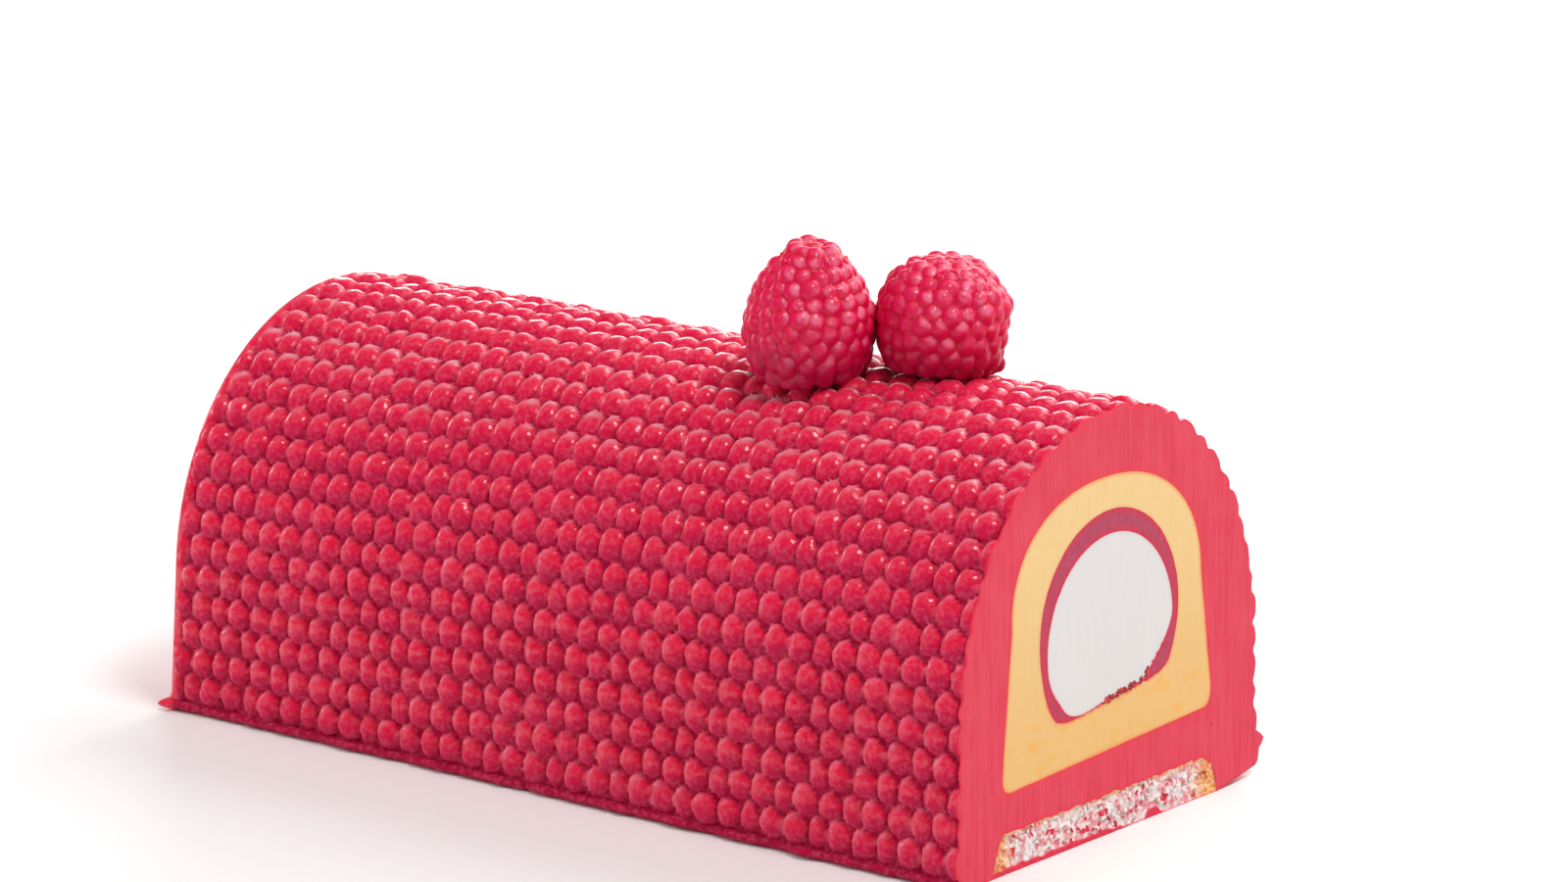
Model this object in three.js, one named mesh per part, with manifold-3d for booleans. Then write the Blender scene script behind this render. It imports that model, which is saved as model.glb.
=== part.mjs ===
// An ice cream log cake, cut open at one end. A raspberry sorbet log, moulded in a trough with a knobbed
// lining, holds a block of yellow ice cream, which holds a cream core in a ring of jam. A strip of sponge is
// let into its underside, and two raspberries stand on the crown.
// Millimetres, +Z up. The log lies along X on z = 0: the cut face looks along +X, the closed moulded end
// along -X. The origin is the middle of the underside.
import * as THREE from "three";
import { mergeVertices } from "three/addons/utils/BufferGeometryUtils.js";
import Module from "manifold-3d";

const wasm = await Module();
wasm.setup();

// ---- Driving dimensions ----

const length = 183.1; // over all, from the foot of the moulded end to the cut
const gap = 0.3; // between solids that touch

// The log's section, measured at the bottom of the grooves between the knobs
const baseHalf = 42.1;
const sideTopHalf = 41.35;
const sideHeight = 27.2;
const crownHeight = 73.4;

// Knobs: rows along the log, each row shifted by half a knob, widths repeating every third knob
const knobPitch = 4.86;
const knobRise = 1.45;
const knobRows = 35;
const widthSwing = 0.35;
const riseSwing = 0.2;

// Foot: the thin lip where the sorbet met the rim of the mould
const footReach = 2.0; // beyond the moulded end
const nearLip = { edge: 41.4, out: 44.6, low: 0.5, wide: 1.5, top: 2.1 };
const farLip = { edge: 41.4, out: 44.9, low: 2.0, wide: 5.6, top: 7.4 };

// The moulded end
const endLean = THREE.MathUtils.degToRad(3.44);
const endPlate = 1.7;
const endRound = 0.8;

// The yellow block
const yellow = {
  left: -30.6,
  right: 28.8,
  bottom: 14.0,
  slope: 0.035,
  corner: 2.2,
  shoulder: 41.3,
  shoulderHalf: 26.9,
  middle: -1.2,
  skew: 0.8,
  top: 62.8,
  fullness: 2.2,
};
const yellowFromEnd = 8;

// The insert in it: a jam ring round the cream core, both cut flat underneath
const insertMiddle = [-0.5, 36];
const jamCircle = { y: -0.7, z: 37.1, radius: 19.8 };
const jamCut = { y: -13, z: 22.2, slope: 0.11 };
const coreCircle = { y: -0.4, z: 34.9, radius: 17.8 };
const coreCuts = [
  { y: -11, z: 22.6, slope: 0.1 },
  { y: 8, z: 25.8, slope: 0.9 },
];
const thinnestJam = 0.5;

// The sponge strip
const sponge = {
  left: -33.6,
  right: 31.2,
  topLeft: -30.2,
  topRight: 27.2,
  height: 7.1,
  layers: 5,
  columns: 22,
  crumb: 0.7,
  ragged: 0.35,
};
const spongeFromEnd = 6;

// The raspberries: place on the crown, size over the drupelets, shape of the body, and the lean of the
// axis in degrees towards +x and +y
const drupelet = { width: 3.7, height: 3.4, rise: 0.95 };
const berryStand = 0.5; // clear of the highest knobs
const berries = [
  {
    name: "berry_left",
    place: [32.4, -7.8],
    height: 22.5,
    radius: 11.3,
    body: { foot: 0.72, waist: 0.34, tip: 0.36, taper: 0.88 },
    lean: [4.4, -1.9],
    turn: 0.3,
  },
  {
    name: "berry_right",
    place: [51.2, 4.6],
    height: 19.8,
    radius: 11.8,
    body: { foot: 0.72, waist: 0.5, tip: 0.14, taper: 0.5 },
    lean: [4.6, 2.2],
    turn: 1.1,
  },
];

const cutX = length / 2;
const endX = -length / 2 + footReach; // foot of the moulded end

// ---- Building blocks ----

// A closed surface, put together from fans and strips of triangles that all point outwards.
class Surface {
  constructor() {
    this.points = [];
    this.faces = [];
  }

  point(x, y, z) {
    this.points.push(new THREE.Vector3(x, y, z));
    return this.points.length - 1;
  }

  fan(tip, ring) {
    ring.forEach((corner, i) => this.faces.push(tip, corner, ring[(i + 1) % ring.length]));
  }

  // A strip between two lines of points, each sorted along x. Either may have more points.
  strip(lower, upper) {
    let i = 0;
    let j = 0;
    const x = (index) => this.points[index].x;
    while (i < lower.length - 1 || j < upper.length - 1) {
      const lowerNext = i < lower.length - 1 ? x(lower[i + 1]) : Infinity;
      const upperNext = j < upper.length - 1 ? x(upper[j + 1]) : Infinity;
      if (lowerNext <= upperNext) {
        this.faces.push(lower[i], lower[i + 1], upper[j]);
        i += 1;
      } else {
        this.faces.push(lower[i], upper[j + 1], upper[j]);
        j += 1;
      }
    }
  }

  geometry() {
    const geometry = new THREE.BufferGeometry().setFromPoints(this.points);
    geometry.setIndex(this.faces);
    return geometry;
  }
}

// A closed solid through rings of points, with the same number of points in each ring.
function loft(rings) {
  const surface = new Surface();
  const loops = rings.map((ring) => ring.map((p) => surface.point(...p)));
  for (let k = 0; k < loops.length - 1; k++) {
    loops[k].forEach((corner, i) => {
      const next = (i + 1) % loops[k].length;
      surface.faces.push(corner, loops[k][next], loops[k + 1][next]);
      surface.faces.push(corner, loops[k + 1][next], loops[k + 1][i]);
    });
  }
  const middle = (ring) => {
    const sum = ring.reduce((total, p) => total.map((value, axis) => value + p[axis]), [0, 0, 0]);
    return surface.point(...sum.map((value) => value / ring.length));
  };
  surface.fan(middle(rings[0]), [...loops[0]].reverse());
  surface.fan(middle(rings.at(-1)), loops.at(-1));
  return surface.geometry();
}

// An outline of [y, z] points, run along x from one place to another.
function prism(outline, fromX, toX, holes = []) {
  const shape = new THREE.Shape(outline.map(([y, z]) => new THREE.Vector2(y, z)));
  shape.holes = holes.map((hole) => new THREE.Path(hole.map(([y, z]) => new THREE.Vector2(y, z))));
  const geometry = new THREE.ExtrudeGeometry(shape, { depth: toX - fromX, bevelEnabled: false });
  const toLog = new THREE.Matrix4().makeBasis(
    new THREE.Vector3(0, 1, 0),
    new THREE.Vector3(0, 0, 1),
    new THREE.Vector3(1, 0, 0),
  );
  return geometry.applyMatrix4(toLog).translate(fromX, 0, 0);
}

function solid(geometry) {
  const bare = geometry.clone();
  bare.deleteAttribute("normal");
  bare.deleteAttribute("uv");
  const merged = mergeVertices(bare, 1e-4);
  const vertProperties = new Float32Array(merged.attributes.position.array);
  const triVerts = new Uint32Array(merged.index.array);
  return new wasm.Manifold(new wasm.Mesh({ numProp: 3, vertProperties, triVerts }));
}

function geometryOf(body) {
  const made = body.getMesh();
  const geometry = new THREE.BufferGeometry();
  geometry.setAttribute("position", new THREE.BufferAttribute(made.vertProperties, 3));
  geometry.setIndex(new THREE.BufferAttribute(made.triVerts, 1));
  return geometry;
}

function named(name, geometry, color, roughness) {
  const bare = geometry.clone();
  bare.deleteAttribute("uv");
  bare.computeVertexNormals();
  const mesh = new THREE.Mesh(bare, new THREE.MeshStandardMaterial({ color, roughness, metalness: 0 }));
  mesh.name = name;
  return mesh;
}

// ---- The section of the log ----

// The groove line of the section from the near foot over the crown to the far foot, with its length so far.
const sectionSteps = 400;
const section = [];
for (let i = 0; i <= sectionSteps; i++) {
  const crownRise = crownHeight - sideHeight;
  const crownShare = 0.72;
  const along = (i / sectionSteps) * 2 - 1;
  const side = (1 - Math.abs(along)) / (1 - crownShare);
  const angle = (along / crownShare) * (Math.PI / 2);
  const onSide = side < 1;
  const y = onSide
    ? Math.sign(along) * THREE.MathUtils.lerp(baseHalf, sideTopHalf, side)
    : sideTopHalf * Math.sin(angle);
  const z = onSide ? side * sideHeight : sideHeight + crownRise * Math.cos(angle);
  const last = section.at(-1);
  section.push({ y, z, run: last ? last.run + Math.hypot(y - last.y, z - last.z) : 0 });
}
const sectionRun = section.at(-1).run;

// The point of the section at a distance along it, lifted off it at a right angle.
function onSection(run, lift) {
  const next = Math.max(1, section.findIndex((p) => p.run >= Math.min(run, sectionRun)));
  const a = section[next - 1];
  const b = section[next];
  const share = (run - a.run) / (b.run - a.run);
  const step = b.run - a.run;
  const y = THREE.MathUtils.lerp(a.y, b.y, share) - ((b.z - a.z) / step) * lift;
  const z = THREE.MathUtils.lerp(a.z, b.z, share) + ((b.y - a.y) / step) * lift;
  return [y, z];
}

// How high the knobs reach over a place across the log.
function crownOver(y) {
  const half = sideTopHalf + knobRise;
  const rise = crownHeight - sideHeight + knobRise;
  return sideHeight + rise * Math.sqrt(1 - (y / half) ** 2);
}

// ---- The sorbet log ----

// Half-steps of the knob lattice run past both ends, which are cut off afterwards.
const latticeStart = -length / 2 - 3 * knobPitch;
const latticeSteps = 2 * Math.ceil((length + 6 * knobPitch) / knobPitch);

// A corner between two knobs of a row. The corners of a row are at every second half-step.
function cornerX(row, step) {
  const swing = row % 2 ? -widthSwing : widthSwing;
  return latticeStart + (knobPitch * step) / 2 + swing * Math.sin((Math.PI * step) / 3);
}

function knobHeight(row, step) {
  const turn = row % 2 ? -1 : 1;
  return knobRise + turn * riseSwing * Math.cos((Math.PI * step) / 3 + 0.6);
}

function knobbedLog() {
  const surface = new Surface();
  const nearRun = nearLip.top;
  const rowPitch = (sectionRun - farLip.top - nearRun) / knobRows;
  // Lines between the rows hold the corners of the row above and of the row below.
  const lines = [];
  for (let line = 0; line <= knobRows; line++) {
    const [y, z] = onSection(nearRun + line * rowPitch, 0);
    const corners = [];
    for (let step = 0; step <= latticeSteps; step++) {
      const row = (step + line) % 2 ? line - 1 : line;
      corners.push(surface.point(cornerX(row, step), y, z));
    }
    lines.push(corners);
  }
  for (let row = 0; row < knobRows; row++) {
    for (let step = -(row % 2); step < latticeSteps; step += 2) {
      const first = Math.max(step, 0);
      const last = Math.min(step + 2, latticeSteps);
      const below = lines[row].slice(first, last + 1);
      const above = lines[row + 1].slice(first, last + 1).reverse();
      const [y, z] = onSection(nearRun + (row + 0.5) * rowPitch, knobHeight(row, step + 1));
      const x = (surface.points[below[0]].x + surface.points[below.at(-1)].x) / 2;
      const tip = surface.point(x, y, z);
      surface.fan(tip, [...below, ...above]);
    }
  }
  // The lips, from each lowest line of knobs down and under to the flat base
  const startX = surface.points[lines[0][0]].x;
  const endOfLatticeX = surface.points[lines[0].at(-1)].x;
  const lipLine = (side, y, z) => [startX, endOfLatticeX].map((x) => surface.point(x, side * y, z));
  const lipPoints = ({ edge, out, low, wide }) => [
    [edge, 0],
    [(edge + 2 * out) / 3, low],
    [out, wide],
  ];
  const near = lipPoints(nearLip).map(([y, z]) => lipLine(-1, y, z));
  const far = lipPoints(farLip).map(([y, z]) => lipLine(1, y, z)).reverse();
  const strips = [...near, lines[0]];
  strips.slice(1).forEach((line, i) => surface.strip(strips[i], line));
  const farStrips = [lines.at(-1), ...far, near[0]];
  farStrips.slice(1).forEach((line, i) => surface.strip(farStrips[i], line));
  // Flat ends
  const around = [...near, ...lines, ...far];
  const capX = [startX, endOfLatticeX];
  const rims = [around.map((line) => line[0]), around.map((line) => line.at(-1))];
  surface.fan(surface.point(capX[0], 0, sideHeight), rims[0]);
  surface.fan(surface.point(capX[1], 0, sideHeight), rims[1].reverse());
  return solid(squareEnds(surface, lines, capX).geometry());
}

// The ends of the lines are brought into one plane.
function squareEnds(surface, lines, capX) {
  for (const line of lines) {
    surface.points[line[0]].x = capX[0];
    surface.points[line.at(-1)].x = capX[1];
  }
  return surface;
}

// Cuts both ends square to the length, the moulded one along its lean.
function betweenEnds() {
  const side = 60;
  const top = 120;
  const leanedX = (z) => endX + endPlate / 2 + z * Math.tan(endLean);
  const corners = [
    [leanedX(-1), -1],
    [cutX, -1],
    [cutX, top],
    [leanedX(top), top],
  ];
  const ring = (y) => corners.map(([x, z]) => [x, y, z]);
  return solid(loft([ring(side), ring(-side)]));
}

// The smooth plate that closes the moulded end, with its rounded rim, and the foot below it
function mouldedEnd() {
  const plateSides = 44;
  const leaned = (x, z) => x + z * Math.tan(endLean);
  const outline = (x, lift) => {
    const ring = [];
    for (let i = 0; i <= plateSides; i++) {
      const [y, z] = onSection((sectionRun * i) / plateSides, lift);
      ring.push([leaned(x, Math.max(z, 0)), y, Math.max(z, 0)]);
    }
    return ring.reverse();
  };
  const rimLift = knobRise * 0.6;
  const plate = loft([
    outline(endX, rimLift - endRound),
    outline(endX + endRound * 0.3, rimLift - endRound * 0.3),
    outline(endX + endRound, rimLift),
    outline(endX + endPlate, rimLift),
  ]);
  const footOutline = [
    [endX + endPlate, 0],
    [endX + endPlate, nearLip.top + 0.8],
    [endX - 0.3 * footReach, nearLip.top + 0.3],
    [endX - footReach, nearLip.wide],
    [endX - 0.6 * footReach, nearLip.low * 0.4],
    [endX - 0.2 * footReach, 0],
  ];
  const footRing = (y) => footOutline.map(([x, z]) => [x, y, z]).reverse();
  const footHalf = nearLip.out - 0.6;
  const foot = loft([footRing(-footHalf), footRing(footHalf)]);
  return solid(plate).add(solid(foot));
}

// ---- The layers ----

function yellowOutline(grow) {
  const { left, right, bottom, slope, corner, shoulder, shoulderHalf, middle, skew, top, fullness } = yellow;
  const floor = (y) => bottom + slope * (y - left) - grow;
  const shape = new THREE.Shape();
  shape.moveTo(left - grow + corner, floor(left));
  shape.lineTo(right + grow - corner, floor(right));
  shape.quadraticCurveTo(right + grow, floor(right), right + grow, floor(right) + 1.6 * corner);
  const archSteps = 22;
  for (let i = 0; i <= archSteps; i++) {
    const angle = (Math.PI * i) / archSteps;
    const bend = (value) => Math.sign(value) * Math.abs(value) ** (2 / fullness);
    const y = middle - skew * Math.sin(angle) + (shoulderHalf + grow) * bend(Math.cos(angle));
    shape.lineTo(y, shoulder + (top + grow - shoulder) * bend(Math.sin(angle)));
  }
  shape.lineTo(left - grow, floor(left) + 1.2 * corner);
  shape.quadraticCurveTo(left - grow, floor(left), left - grow + corner, floor(left));
  const cornerSegments = 3;
  return shape.getPoints(cornerSegments).slice(0, -1).map((p) => [p.x, p.y]);
}

// How far it is from the middle of the insert to its edge, in a direction: a circle with flat cuts.
function reach(circle, cuts, angle) {
  const [dy, dz] = [Math.cos(angle), Math.sin(angle)];
  const [y, z] = [insertMiddle[0] - circle.y, insertMiddle[1] - circle.z];
  const inward = y * dy + z * dz;
  const toCircle = -inward + Math.sqrt(inward ** 2 - (y * y + z * z - circle.radius ** 2));
  const toCuts = cuts.map((cut) => {
    const above = insertMiddle[1] - (cut.z + cut.slope * (insertMiddle[0] - cut.y));
    const closing = cut.slope * dy - dz;
    return closing > 0 ? above / closing : Infinity;
  });
  return Math.min(toCircle, ...toCuts);
}

const jamReach = (angle) => reach(jamCircle, [jamCut], angle);
const coreReach = (angle) => reach(coreCircle, coreCuts, angle);
const around = (angle, radius) => [
  insertMiddle[0] + radius * Math.cos(angle),
  insertMiddle[1] + radius * Math.sin(angle),
];

const insertSteps = 48;
function insertOutline(radiusAt) {
  const outline = [];
  for (let i = 0; i < insertSteps; i++) {
    const angle = -Math.PI / 2 + (2 * Math.PI * i) / insertSteps;
    outline.push(around(angle, radiusAt(angle)));
  }
  return outline;
}

// The jam lies round the core except under it, where the insert was cut flat.
function jamOutline() {
  const angles = [];
  for (let i = 0; i < insertSteps; i++) {
    const angle = -Math.PI / 2 + (2 * Math.PI * i) / insertSteps;
    if (jamReach(angle) - coreReach(angle) - gap > thinnestJam) angles.push(angle);
  }
  const outer = angles.map((angle) => around(angle, jamReach(angle)));
  const inner = angles.map((angle) => around(angle, coreReach(angle) + gap));
  return [...outer, ...inner.reverse()];
}

// The left and right edge of the sponge's section at one of its layers, with its height there
function spongeLayer(layer) {
  const up = layer / sponge.layers;
  return {
    from: THREE.MathUtils.lerp(sponge.left, sponge.topLeft, up ** 2),
    to: THREE.MathUtils.lerp(sponge.right, sponge.topRight, up ** 2),
    z: up * sponge.height,
  };
}

// The trough for the sponge, open underneath
function spongePocket() {
  const below = -1;
  const levels = Array.from({ length: sponge.layers + 1 }, (_, layer) => spongeLayer(layer));
  const raised = (z) => (z > 0 ? z + gap : below);
  const rightSide = levels.map(({ to, z }) => [to + gap, raised(z)]);
  const leftSide = levels.map(({ from, z }) => [from - gap, raised(z)]);
  return [...rightSide, ...leftSide.reverse()];
}

// The sponge, with a crumbly face at the cut and a ragged top edge
function spongeStrip() {
  const { columns, layers, crumb, ragged } = sponge;
  const surface = new Surface();
  const rows = [];
  for (let layer = 0; layer <= layers; layer++) {
    const { from, to, z } = spongeLayer(layer);
    const line = [];
    for (let i = 0; i <= columns; i++) {
      const sunk = layer === layers ? ragged * (1 - Math.sin(i * 2.3)) : 0;
      const hole = 0.5 + 0.5 * Math.sin(i * 2.7 + layer * 1.9) * Math.cos(i * 1.3 - layer * 2.4);
      const y = THREE.MathUtils.lerp(from, to, i / columns);
      line.push(surface.point(cutX - crumb * hole, y, z - sunk));
    }
    rows.push(line);
  }
  for (let layer = 0; layer < layers; layer++) {
    const [lower, upper] = [rows[layer], rows[layer + 1]];
    for (let i = 0; i < columns; i++) {
      surface.faces.push(lower[i], lower[i + 1], upper[i + 1]);
      surface.faces.push(lower[i], upper[i + 1], upper[i]);
    }
  }
  // The edge of that face, carried along the log to a plain end
  const farX = endX + spongeFromEnd;
  const sides = rows.slice(1, -1);
  const edge = [
    ...rows[0],
    ...sides.map((line) => line.at(-1)),
    ...[...rows.at(-1)].reverse(),
    ...sides.map((line) => line[0]).reverse(),
  ];
  const back = edge.map((index) => {
    const { y, z } = surface.points[index];
    return surface.point(farX, y, z);
  });
  edge.forEach((corner, i) => {
    const next = (i + 1) % edge.length;
    surface.faces.push(corner, back[i], back[next]);
    surface.faces.push(corner, back[next], edge[next]);
  });
  surface.fan(surface.point(farX, 0, sponge.height / 2), [...back].reverse());
  return surface.geometry();
}

// ---- The raspberries ----

// Radius of a raspberry's body at a height, both as shares: full at its waist, blunt at its tip
function berryProfile(share, { foot, waist, tip, taper }) {
  if (share < waist) return foot + (1 - foot) * Math.sqrt(1 - (1 - share / waist) ** 2);
  const up = (share - waist) / (1 - waist);
  return tip + (1 - tip) * (1 - up ** 2) ** taper;
}

// Rows of drupelets round the axis, as many in a row as fit. Each is a dome on its cell of the body.
function raspberry({ place, height, radius, body, lean, turn }) {
  const surface = new Surface();
  const bodyRadius = radius - drupelet.rise;
  const bodyHeight = height - drupelet.rise;
  const rows = Math.round(bodyHeight / drupelet.height);
  const rowTurn = 2.4; // the golden angle, so that drupelets of neighbouring rows don't line up
  const [x, y] = place;
  const toPlace = new THREE.Matrix4()
    .makeTranslation(x, y, crownOver(y) + berryStand)
    .multiply(new THREE.Matrix4().makeRotationY(THREE.MathUtils.degToRad(lean[0])))
    .multiply(new THREE.Matrix4().makeRotationX(THREE.MathUtils.degToRad(-lean[1])));
  const bodyAt = (share) => bodyRadius * berryProfile(share, body);
  const counts = [];
  for (let row = 0; row < rows; row++) {
    counts.push(Math.max(5, Math.round((2 * Math.PI * bodyAt((row + 0.5) / rows)) / drupelet.width)));
  }
  const cornersOf = (row) => {
    const phase = turn + row * rowTurn;
    const angles = Array.from({ length: counts[row] }, (_, i) => phase + (2 * Math.PI * i) / counts[row]);
    return angles.map((angle) => angle % (2 * Math.PI));
  };
  const put = (angle, r, z) => {
    const p = new THREE.Vector3(r * Math.cos(angle), r * Math.sin(angle), z).applyMatrix4(toPlace);
    return surface.point(p.x, p.y, p.z);
  };
  // Rings of corners between the rows, sorted by angle
  const rings = [];
  for (let ring = 0; ring <= rows; ring++) {
    const below = ring > 0 ? cornersOf(ring - 1) : [];
    const above = ring < rows ? cornersOf(ring) : [];
    const angles = [...below, ...above].sort((a, b) => a - b);
    const share = ring / rows;
    rings.push(angles.map((angle) => ({ angle, index: put(angle, bodyAt(share), bodyHeight * share) })));
  }
  // The corners of a ring from one angle round to another
  const between = (ring, from, to) => {
    const turned = (angle) => (angle - from + 4 * Math.PI + 1e-9) % (2 * Math.PI);
    const span = (to - from + 4 * Math.PI) % (2 * Math.PI);
    return ring
      .filter(({ angle }) => turned(angle) <= span + 2e-9)
      .sort((a, b) => turned(a.angle) - turned(b.angle))
      .map(({ index }) => index);
  };
  for (let row = 0; row < rows; row++) {
    const corners = cornersOf(row).sort((a, b) => a - b);
    corners.forEach((from, i) => {
      const to = corners[(i + 1) % corners.length];
      const below = between(rings[row], from, to);
      const above = between(rings[row + 1], from, to).reverse();
      dome(surface, [...below, ...above], drupelet.rise);
    });
  }
  dome(surface, rings[rows].map(({ index }) => index), drupelet.rise);
  // The rim settles on the knobs, and the underside is closed just above them.
  const rim = rings[0].map(({ index }) => index);
  for (const index of rim) {
    const p = surface.points[index];
    p.z = crownOver(p.y) + berryStand;
  }
  surface.fan(surface.point(x, y, crownOver(y) + berryStand), [...rim].reverse());
  return surface.geometry();
}

// A low dome over a cell of corners, with a shoulder and a tip
function dome(surface, cell, rise) {
  const shoulderShare = 0.66;
  const shoulderRise = 0.72 * rise;
  const corners = cell.map((index) => surface.points[index]);
  const middle = corners.reduce((sum, p) => sum.add(p), new THREE.Vector3()).divideScalar(corners.length);
  const out = new THREE.Vector3();
  corners.forEach((p, i) => {
    const next = corners[(i + 1) % corners.length];
    out.add(p.clone().sub(middle).cross(next.clone().sub(middle)));
  });
  out.normalize();
  const shoulder = corners.map((p) => {
    const q = p.clone().lerp(middle, 1 - shoulderShare).addScaledVector(out, shoulderRise);
    return surface.point(q.x, q.y, q.z);
  });
  cell.forEach((corner, i) => {
    const next = (i + 1) % cell.length;
    surface.faces.push(corner, cell[next], shoulder[next]);
    surface.faces.push(corner, shoulder[next], shoulder[i]);
  });
  middle.addScaledVector(out, rise);
  surface.fan(surface.point(middle.x, middle.y, middle.z), shoulder);
}

// ---- The cake ----

const yellowX = endX + yellowFromEnd;
const pocketEndX = cutX + 5;
const sorbet = knobbedLog()
  .intersect(betweenEnds())
  .add(mouldedEnd())
  .subtract(solid(prism(yellowOutline(gap), yellowX - gap, pocketEndX)))
  .subtract(solid(prism(spongePocket(), endX + spongeFromEnd - gap, pocketEndX)));

const cake = new THREE.Group();
cake.add(named("sorbet_log", geometryOf(sorbet), 0xd81f3f, 0.35));
cake.add(
  named(
    "yellow_layer",
    prism(yellowOutline(0), yellowX, cutX, [insertOutline((angle) => jamReach(angle) + gap)]),
    0xf8d080,
    0.55,
  ),
);
cake.add(named("jam_ring", prism(jamOutline(), yellowX, cutX), 0x9a1f45, 0.3));
cake.add(named("cream_core", prism(insertOutline(coreReach), yellowX, cutX), 0xe6e4e2, 0.6));
cake.add(named("sponge_base", spongeStrip(), 0xf0dcc8, 0.9));
for (const berry of berries) cake.add(named(berry.name, raspberry(berry), 0xd6244d, 0.45));

export default cake;
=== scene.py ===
import math
import random

import bmesh
import bpy
from mathutils import Matrix, Vector, noise


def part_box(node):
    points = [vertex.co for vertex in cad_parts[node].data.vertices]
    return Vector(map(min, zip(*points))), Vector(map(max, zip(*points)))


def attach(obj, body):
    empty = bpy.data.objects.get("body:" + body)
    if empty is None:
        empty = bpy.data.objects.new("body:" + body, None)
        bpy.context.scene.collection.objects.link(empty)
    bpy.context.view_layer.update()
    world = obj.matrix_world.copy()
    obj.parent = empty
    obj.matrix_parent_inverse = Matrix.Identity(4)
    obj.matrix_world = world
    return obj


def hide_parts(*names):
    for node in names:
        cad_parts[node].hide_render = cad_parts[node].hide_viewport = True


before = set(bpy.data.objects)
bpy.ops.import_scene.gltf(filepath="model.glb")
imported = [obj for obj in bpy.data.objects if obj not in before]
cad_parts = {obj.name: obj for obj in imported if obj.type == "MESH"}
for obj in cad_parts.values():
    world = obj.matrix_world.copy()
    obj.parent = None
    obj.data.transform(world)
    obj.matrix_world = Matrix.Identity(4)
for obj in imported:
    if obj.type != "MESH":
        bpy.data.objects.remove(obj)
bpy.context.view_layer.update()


# ---------------------------------------------------------------------------------------------------------
# The sorbet log: raspberry sorbet poured into a long mould with a knobbed lining and turned out. It is one
# piece: the knobbed skin, the smooth leaning wall where the mould closed, the foot where it met the mould's
# rim, the flat cut face, and the hollows that the yellow block and the sponge fill.

mm = 0.001
weld = 0.002  # millimetres between points that are the same
cut_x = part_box("sorbet_log")[1].x / mm
foot_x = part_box("sorbet_log")[0].x / mm
end_reach = 2.0  # of the foot, beyond the closed end
end_x = foot_x + end_reach
end_lean = math.tan(math.radians(3.44))
rim_thick = 1.7  # of the smooth rim at the closed end

base_half = 42.1  # the section is measured on the floor of the grooves
side_top_half = 41.35
side_height = 27.2
crown_height = 73.4

knob_pitch = 4.86
knob_rise = 1.5
knob_rows = 35
pitch_swing = 0.35  # how far knobs of a row draw together and apart, over six half steps
rise_swing = 0.22
knob_gap = 0.02  # half of the groove between two knobs of a row
knob_half_height = 2.85  # more than half a row, so that the rows of knobs interlock
knob_warp = 0.45  # how far knobs are bent out of round
pit_depth = 0.35  # of the pits between knobs, below the groove floor
sunken_share = 0.06  # of the knobs that came out low
near_lip_top = 2.1
far_lip_top = 7.4

trough = {  # the hollow in the underside that the sponge fills
    "left": -33.6,
    "right": 31.2,
    "top_left": -30.2,
    "top_right": 27.2,
    "height": 7.1,
    "end": end_x + 6,
}


def lerp(a, b, share):
    return a + (b - a) * share


def smooth(low, high, value):
    """0 below low, 1 above high, and a soft step between them."""
    share = min(1.0, max(0.0, (value - low) / (high - low)))
    return share * share * (3 - 2 * share)


def uneven(x, y, z, size, seed=0.0):
    """Soft noise from about -1 to 1, with lumps of a size in millimetres."""
    return noise.noise(Vector((x / size + seed, y / size - seed, z / size + 2 * seed)))


def moulded_section(steps=800):
    """The groove floor from the near foot over the crown to the far foot: (distance along it, y, z)."""
    crown_share = 0.72
    points = []
    run = 0.0
    for i in range(steps + 1):
        along = 2 * i / steps - 1
        side = (1 - abs(along)) / (1 - crown_share)
        if side < 1:
            y = math.copysign(lerp(base_half, side_top_half, side), along)
            z = side * side_height
        else:
            angle = along / crown_share * math.pi / 2
            y = side_top_half * math.sin(angle)
            z = side_height + (crown_height - side_height) * math.cos(angle)
        if points:
            run += math.hypot(y - points[-1][1], z - points[-1][2])
        points.append((run, y, z))
    return points


section = moulded_section()
section_run = section[-1][0]


def on_section(run):
    """A place on the groove floor, with the direction out of it: y, z, out_y, out_z."""
    low, high = 0, len(section) - 1
    while high - low > 1:
        middle = (low + high) // 2
        low, high = (middle, high) if section[middle][0] <= run else (low, middle)
    (run_a, y_a, z_a), (run_b, y_b, z_b) = section[low], section[high]
    step = run_b - run_a
    share = (run - run_a) / step
    return lerp(y_a, y_b, share), lerp(z_a, z_b, share), -(z_b - z_a) / step, (y_b - y_a) / step


def trough_edge(side, up):
    """The y of the trough's left or right wall at a share of its height."""
    if side < 0:
        return lerp(trough["left"], trough["top_left"], up**2)
    return lerp(trough["right"], trough["top_right"], up**2)


def trough_top(y):
    """The ragged line where the sorbet meets the top of the sponge."""
    return trough["height"] + 0.55 * uneven(0, y, 0, 2.2, 4.0) + 0.25 * uneven(0, y, 0, 0.8, 9.0)


# Lines run along the log. Going round, they are the near lip, the rows of knobs, the far lip, and the
# underside with its trough. Each is (kind, y, z, out_y, out_z, row, distance from the middle of the row).
near_lip = [(41.4, 0.0), (43.3, 0.3), (44.4, 0.9), (44.6, 1.4), (43.9, 1.8), (42.7, 2.0)]
far_lip = [(42.9, 7.3), (45.0, 7.3), (46.0, 6.5), (45.5, 5.6), (44.4, 5.0)]
far_lip += [(44.1, 3.7), (43.9, 2.7), (43.0, 2.0)]
row_pitch = (section_run - near_lip_top - far_lip_top) / knob_rows
row_stations = [-1.0, -0.8, -0.55, -0.28, 0.0, 0.28, 0.55, 0.8]

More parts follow.
